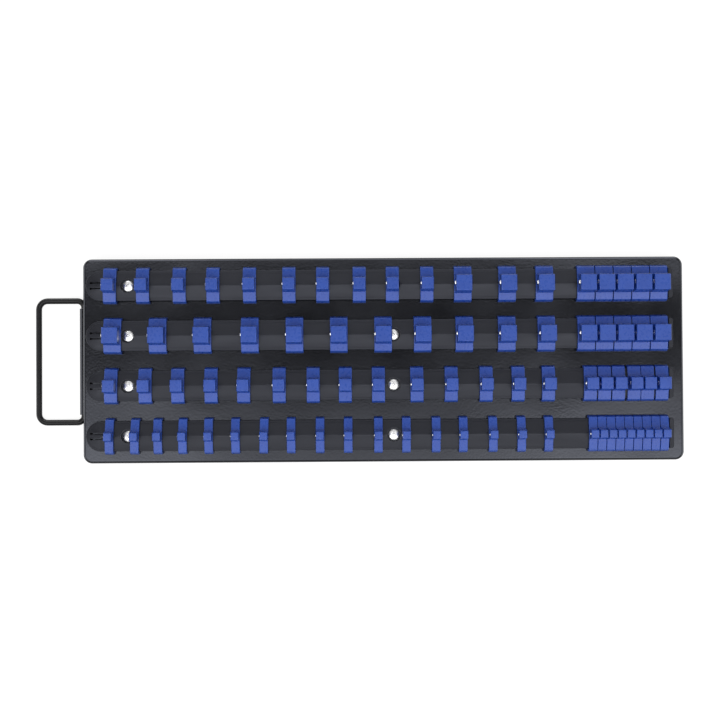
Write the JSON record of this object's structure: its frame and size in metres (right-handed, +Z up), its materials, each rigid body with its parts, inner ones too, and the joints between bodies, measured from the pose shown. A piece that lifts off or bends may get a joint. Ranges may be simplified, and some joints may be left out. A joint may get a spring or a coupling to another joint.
{
  "type": "socket holder tray",
  "caption": "Long black steel tray with a wire bail handle and riveted rails that carry sliding blue clips with square drive posts for wrench sockets.",
  "frame": {"origin": "on the table, in the middle of the overall length (handle included) and of the width", "axes": "+X along the rails, away from the handle; +Y towards the row of mixed clips; +Z up, out of the drive posts"},
  "size_m": [0.5254, 0.164, 0.0446],
  "materials": {
    "powder_coat": "semi-gloss black powder coat",
    "handle_coat": "satin black coat on wire",
    "rail_plastic": "moulded black plastic, satin",
    "clip_plastic": "moulded blue plastic, semi-gloss",
    "rivet_metal": "bright",
    "ball_steel": "polished"
  },
  "bodies": {
    "tray": {"tray": "powder_coat", "rail_row1": "rail_plastic", "rail_row2": "rail_plastic", "rail_row3": "rail_plastic", "rail_row4": "rail_plastic", "rail_rivets": "rivet_metal"},
    "bail_handle": {"bail_handle": "handle_coat"},
    "clip_row1_01": {"clip_row1_01": "clip_plastic"},
    "clip_row1_02": {"clip_row1_02": "clip_plastic"},
    "clip_row1_03": {"clip_row1_03": "clip_plastic"},
    "clip_row1_04": {"clip_row1_04": "clip_plastic"},
    "clip_row1_05": {"clip_row1_05": "clip_plastic"},
    "clip_row1_06": {"clip_row1_06": "clip_plastic"},
    "clip_row1_07": {"clip_row1_07": "clip_plastic"},
    "clip_row1_08": {"clip_row1_08": "clip_plastic"},
    "clip_row1_09": {"clip_row1_09": "clip_plastic"},
    "clip_row1_10": {"clip_row1_10": "clip_plastic"},
    "clip_row1_11": {"clip_row1_11": "clip_plastic"},
    "clip_row1_12": {"clip_row1_12": "clip_plastic"},
    "clip_row1_13": {"clip_row1_13": "clip_plastic"},
    "parked_clips_row1": {"parked_clips_row1": "clip_plastic"},
    "clip_row2_01": {"clip_row2_01": "clip_plastic"},
    "clip_row2_02": {"clip_row2_02": "clip_plastic"},
    "clip_row2_03": {"clip_row2_03": "clip_plastic"},
    "clip_row2_04": {"clip_row2_04": "clip_plastic"},
    "clip_row2_05": {"clip_row2_05": "clip_plastic"},
    "clip_row2_06": {"clip_row2_06": "clip_plastic"},
    "clip_row2_07": {"clip_row2_07": "clip_plastic"},
    "clip_row2_08": {"clip_row2_08": "clip_plastic"},
    "clip_row2_09": {"clip_row2_09": "clip_plastic"},
    "clip_row2_10": {"clip_row2_10": "clip_plastic"},
    "clip_row2_11": {"clip_row2_11": "clip_plastic"},
    "parked_clips_row2": {"parked_clips_row2": "clip_plastic"},
    "clip_row3_01": {"clip_row3_01": "clip_plastic"},
    "clip_row3_02": {"clip_row3_02": "clip_plastic"},
    "clip_row3_03": {"clip_row3_03": "clip_plastic"},
    "clip_row3_04": {"clip_row3_04": "clip_plastic"},
    "clip_row3_05": {"clip_row3_05": "clip_plastic"},
    "clip_row3_06": {"clip_row3_06": "clip_plastic"},
    "clip_row3_07": {"clip_row3_07": "clip_plastic"},
    "clip_row3_08": {"clip_row3_08": "clip_plastic"},
    "clip_row3_09": {"clip_row3_09": "clip_plastic"},
    "clip_row3_10": {"clip_row3_10": "clip_plastic"},
    "clip_row3_11": {"clip_row3_11": "clip_plastic"},
    "clip_row3_12": {"clip_row3_12": "clip_plastic"},
    "clip_row3_13": {"clip_row3_13": "clip_plastic"},
    "clip_row3_14": {"clip_row3_14": "clip_plastic"},
    "parked_clips_row3": {"parked_clips_row3": "clip_plastic"},
    "clips_row4_01_02": {"clips_row4_01_02": "clip_plastic"},
    "clips_row4_03_04": {"clips_row4_03_04": "clip_plastic"},
    "clips_row4_05_06": {"clips_row4_05_06": "clip_plastic"},
    "clips_row4_07_08": {"clips_row4_07_08": "clip_plastic"},
    "clips_row4_09_10": {"clips_row4_09_10": "clip_plastic"},
    "clips_row4_11_12": {"clips_row4_11_12": "clip_plastic"},
    "clips_row4_13_14": {"clips_row4_13_14": "clip_plastic"},
    "clips_row4_15_16": {"clips_row4_15_16": "clip_plastic"},
    "clip_row4_17": {"clip_row4_17": "clip_plastic"},
    "parked_clips_row4": {"parked_clips_row4": "clip_plastic"},
    "detent_ball_row2_06": {"detent_ball_row2_06": "ball_steel"},
    "detent_ball_row3_07": {"detent_ball_row3_07": "ball_steel"}
  },
  "joints": [
    {"name": "handle_swing", "type": "hinge", "parent": "tray", "child": "bail_handle", "pos_m": [-0.22245, 0, 0.0036], "axis": [0, 1, 0], "range_deg": [-90, 90]},
    {"name": "slide_parked_clips_row1", "type": "slide", "parent": "tray", "child": "parked_clips_row1", "axis": [1, 0, 0], "range_m": [-0.01878, 0]},
    {"name": "slide_parked_clips_row2", "type": "slide", "parent": "tray", "child": "parked_clips_row2", "axis": [1, 0, 0], "range_m": [-0.01752, 0]},
    {"name": "slide_parked_clips_row3", "type": "slide", "parent": "tray", "child": "parked_clips_row3", "axis": [1, 0, 0], "range_m": [-0.02267, 0]},
    {"name": "slide_parked_clips_row4", "type": "slide", "parent": "tray", "child": "parked_clips_row4", "axis": [1, 0, 0], "range_m": [-0.02826, 0]},
    {"name": "slide_clip_row2_06", "type": "slide", "parent": "tray", "child": "clip_row2_06", "axis": [1, 0, 0], "range_m": [-0.02092, 0.02092]},
    {"name": "slide_clip_row3_07", "type": "slide", "parent": "tray", "child": "clip_row3_07", "axis": [1, 0, 0], "range_m": [-0.01628, 0.01478]},
    {"name": "press_detent_ball_row2_06", "type": "slide", "parent": "clip_row2_06", "child": "detent_ball_row2_06", "axis": [1, 0, 0], "range_m": [0, 0.00125], "stiffness_N_per_m": 3000, "springref_m": -0.001},
    {"name": "press_detent_ball_row3_07", "type": "slide", "parent": "clip_row3_07", "child": "detent_ball_row3_07", "axis": [1, 0, 0], "range_m": [0, 0.00097], "stiffness_N_per_m": 3000, "springref_m": -0.001},
    {"name": "slide_clip_row1_01", "type": "slide", "parent": "tray", "child": "clip_row1_01", "axis": [1, 0, 0], "range_m": [0, 0.01513]},
    {"name": "slide_clip_row2_01", "type": "slide", "parent": "tray", "child": "clip_row2_01", "axis": [1, 0, 0], "range_m": [-0.00035, 0.02142]},
    {"name": "slide_clip_row3_01", "type": "slide", "parent": "tray", "child": "clip_row3_01", "axis": [1, 0, 0], "range_m": [-0.0008, 0.01623]},
    {"name": "slide_clip_row4_17", "type": "slide", "parent": "tray", "child": "clip_row4_17", "axis": [1, 0, 0], "range_m": [-0.01438, 0.02826]},
    {"name": "slide_clip_row1_02", "type": "slide", "parent": "tray", "child": "clip_row1_02", "axis": [1, 0, 0], "range_m": [-0.01513, 0.01838]},
    {"name": "slide_clip_row2_02", "type": "slide", "parent": "tray", "child": "clip_row2_02", "axis": [1, 0, 0], "range_m": [-0.02142, 0.02122]},
    {"name": "slide_clip_row3_02", "type": "slide", "parent": "tray", "child": "clip_row3_02", "axis": [1, 0, 0], "range_m": [-0.01623, 0.01508]},
    {"name": "slide_clips_row4_01_02", "type": "slide", "parent": "tray", "child": "clips_row4_01_02", "axis": [1, 0, 0], "range_m": [-0.00119, 0.0105]},
    {"name": "slide_clip_row1_03", "type": "slide", "parent": "tray", "child": "clip_row1_03", "axis": [1, 0, 0], "range_m": [-0.01838, 0.01598]},
    {"name": "slide_clip_row2_03", "type": "slide", "parent": "tray", "child": "clip_row2_03", "axis": [1, 0, 0], "range_m": [-0.02122, 0.02332]},
    {"name": "slide_clip_row3_03", "type": "slide", "parent": "tray", "child": "clip_row3_03", "axis": [1, 0, 0], "range_m": [-0.01508, 0.01568]},
    {"name": "slide_clips_row4_03_04", "type": "slide", "parent": "tray", "child": "clips_row4_03_04", "axis": [1, 0, 0], "range_m": [-0.0105, 0.01308]},
    {"name": "slide_clip_row1_04", "type": "slide", "parent": "tray", "child": "clip_row1_04", "axis": [1, 0, 0], "range_m": [-0.01598, 0.01828]},
    {"name": "slide_clip_row2_04", "type": "slide", "parent": "tray", "child": "clip_row2_04", "axis": [1, 0, 0], "range_m": [-0.02332, 0.02112]},
    {"name": "slide_clip_row3_04", "type": "slide", "parent": "tray", "child": "clip_row3_04", "axis": [1, 0, 0], "range_m": [-0.01568, 0.01498]},
    {"name": "slide_clips_row4_05_06", "type": "slide", "parent": "tray", "child": "clips_row4_05_06", "axis": [1, 0, 0], "range_m": [-0.01308, 0.01502]},
    {"name": "slide_clip_row1_05", "type": "slide", "parent": "tray", "child": "clip_row1_05", "axis": [1, 0, 0], "range_m": [-0.01828, 0.02067]},
    {"name": "slide_clip_row2_05", "type": "slide", "parent": "tray", "child": "clip_row2_05", "axis": [1, 0, 0], "range_m": [-0.02112, 0.02092]},
    {"name": "slide_clip_row3_05", "type": "slide", "parent": "tray", "child": "clip_row3_05", "axis": [1, 0, 0], "range_m": [-0.01498, 0.01718]},
    {"name": "slide_clips_row4_07_08", "type": "slide", "parent": "tray", "child": "clips_row4_07_08", "axis": [1, 0, 0], "range_m": [-0.01502, 0.01588]},
    {"name": "slide_clip_row1_06", "type": "slide", "parent": "tray", "child": "clip_row1_06", "axis": [1, 0, 0], "range_m": [-0.02067, 0.01608]},
    {"name": "slide_clip_row2_07", "type": "slide", "parent": "tray", "child": "clip_row2_07", "axis": [1, 0, 0], "range_m": [-0.02092, 0.01711]},
    {"name": "slide_clip_row3_06", "type": "slide", "parent": "tray", "child": "clip_row3_06", "axis": [1, 0, 0], "range_m": [-0.01718, 0.01628]},
    {"name": "slide_clips_row4_09_10", "type": "slide", "parent": "tray", "child": "clips_row4_09_10", "axis": [1, 0, 0], "range_m": [-0.01588, 0.01687]},
    {"name": "slide_clip_row1_07", "type": "slide", "parent": "tray", "child": "clip_row1_07", "axis": [1, 0, 0], "range_m": [-0.01608, 0.01838]},
    {"name": "slide_clip_row2_08", "type": "slide", "parent": "tray", "child": "clip_row2_08", "axis": [1, 0, 0], "range_m": [-0.01711, 0.01892]},
    {"name": "slide_clip_row3_08", "type": "slide", "parent": "tray", "child": "clip_row3_08", "axis": [1, 0, 0], "range_m": [-0.01478, 0.01558]},
    {"name": "slide_clips_row4_11_12", "type": "slide", "parent": "tray", "child": "clips_row4_11_12", "axis": [1, 0, 0], "range_m": [-0.01687, 0.01657]},
    {"name": "slide_clip_row1_08", "type": "slide", "parent": "tray", "child": "clip_row1_08", "axis": [1, 0, 0], "range_m": [-0.01838, 0.01558]},
    {"name": "slide_clip_row2_09", "type": "slide", "parent": "tray", "child": "clip_row2_09", "axis": [1, 0, 0], "range_m": [-0.01892, 0.01952]},
    {"name": "slide_clip_row3_09", "type": "slide", "parent": "tray", "child": "clip_row3_09", "axis": [1, 0, 0], "range_m": [-0.01558, 0.01975]},
    {"name": "slide_clips_row4_13_14", "type": "slide", "parent": "tray", "child": "clips_row4_13_14", "axis": [1, 0, 0], "range_m": [-0.01657, 0.01637]},
    {"name": "slide_clip_row1_09", "type": "slide", "parent": "tray", "child": "clip_row1_09", "axis": [1, 0, 0], "range_m": [-0.01558, 0.01678]},
    {"name": "slide_clip_row2_10", "type": "slide", "parent": "tray", "child": "clip_row2_10", "axis": [1, 0, 0], "range_m": [-0.01952, 0.01722]},
    {"name": "slide_clip_row3_10", "type": "slide", "parent": "tray", "child": "clip_row3_10", "axis": [1, 0, 0], "range_m": [-0.01975, 0.01645]},
    {"name": "slide_clips_row4_15_16", "type": "slide", "parent": "tray", "child": "clips_row4_15_16", "axis": [1, 0, 0], "range_m": [-0.01637, 0.01438]},
    {"name": "slide_clip_row1_10", "type": "slide", "parent": "tray", "child": "clip_row1_10", "axis": [1, 0, 0], "range_m": [-0.01678, 0.01608]},
    {"name": "slide_clip_row2_11", "type": "slide", "parent": "tray", "child": "clip_row2_11", "axis": [1, 0, 0], "range_m": [-0.01722, 0.01752]},
    {"name": "slide_clip_row3_11", "type": "slide", "parent": "tray", "child": "clip_row3_11", "axis": [1, 0, 0], "range_m": [-0.01645, 0.01708]},
    {"name": "slide_clip_row1_11", "type": "slide", "parent": "tray", "child": "clip_row1_11", "axis": [1, 0, 0], "range_m": [-0.01608, 0.02107]},
    {"name": "slide_clip_row3_12", "type": "slide", "parent": "tray", "child": "clip_row3_12", "axis": [1, 0, 0], "range_m": [-0.01708, 0.01478]},
    {"name": "slide_clip_row1_12", "type": "slide", "parent": "tray", "child": "clip_row1_12", "axis": [1, 0, 0], "range_m": [-0.02107, 0.01538]},
    {"name": "slide_clip_row3_13", "type": "slide", "parent": "tray", "child": "clip_row3_13", "axis": [1, 0, 0], "range_m": [-0.01478, 0.01338]},
    {"name": "slide_clip_row1_13", "type": "slide", "parent": "tray", "child": "clip_row1_13", "axis": [1, 0, 0], "range_m": [-0.01538, 0.01878]},
    {"name": "slide_clip_row3_14", "type": "slide", "parent": "tray", "child": "clip_row3_14", "axis": [1, 0, 0], "range_m": [-0.01338, 0.02267]}
  ]
}
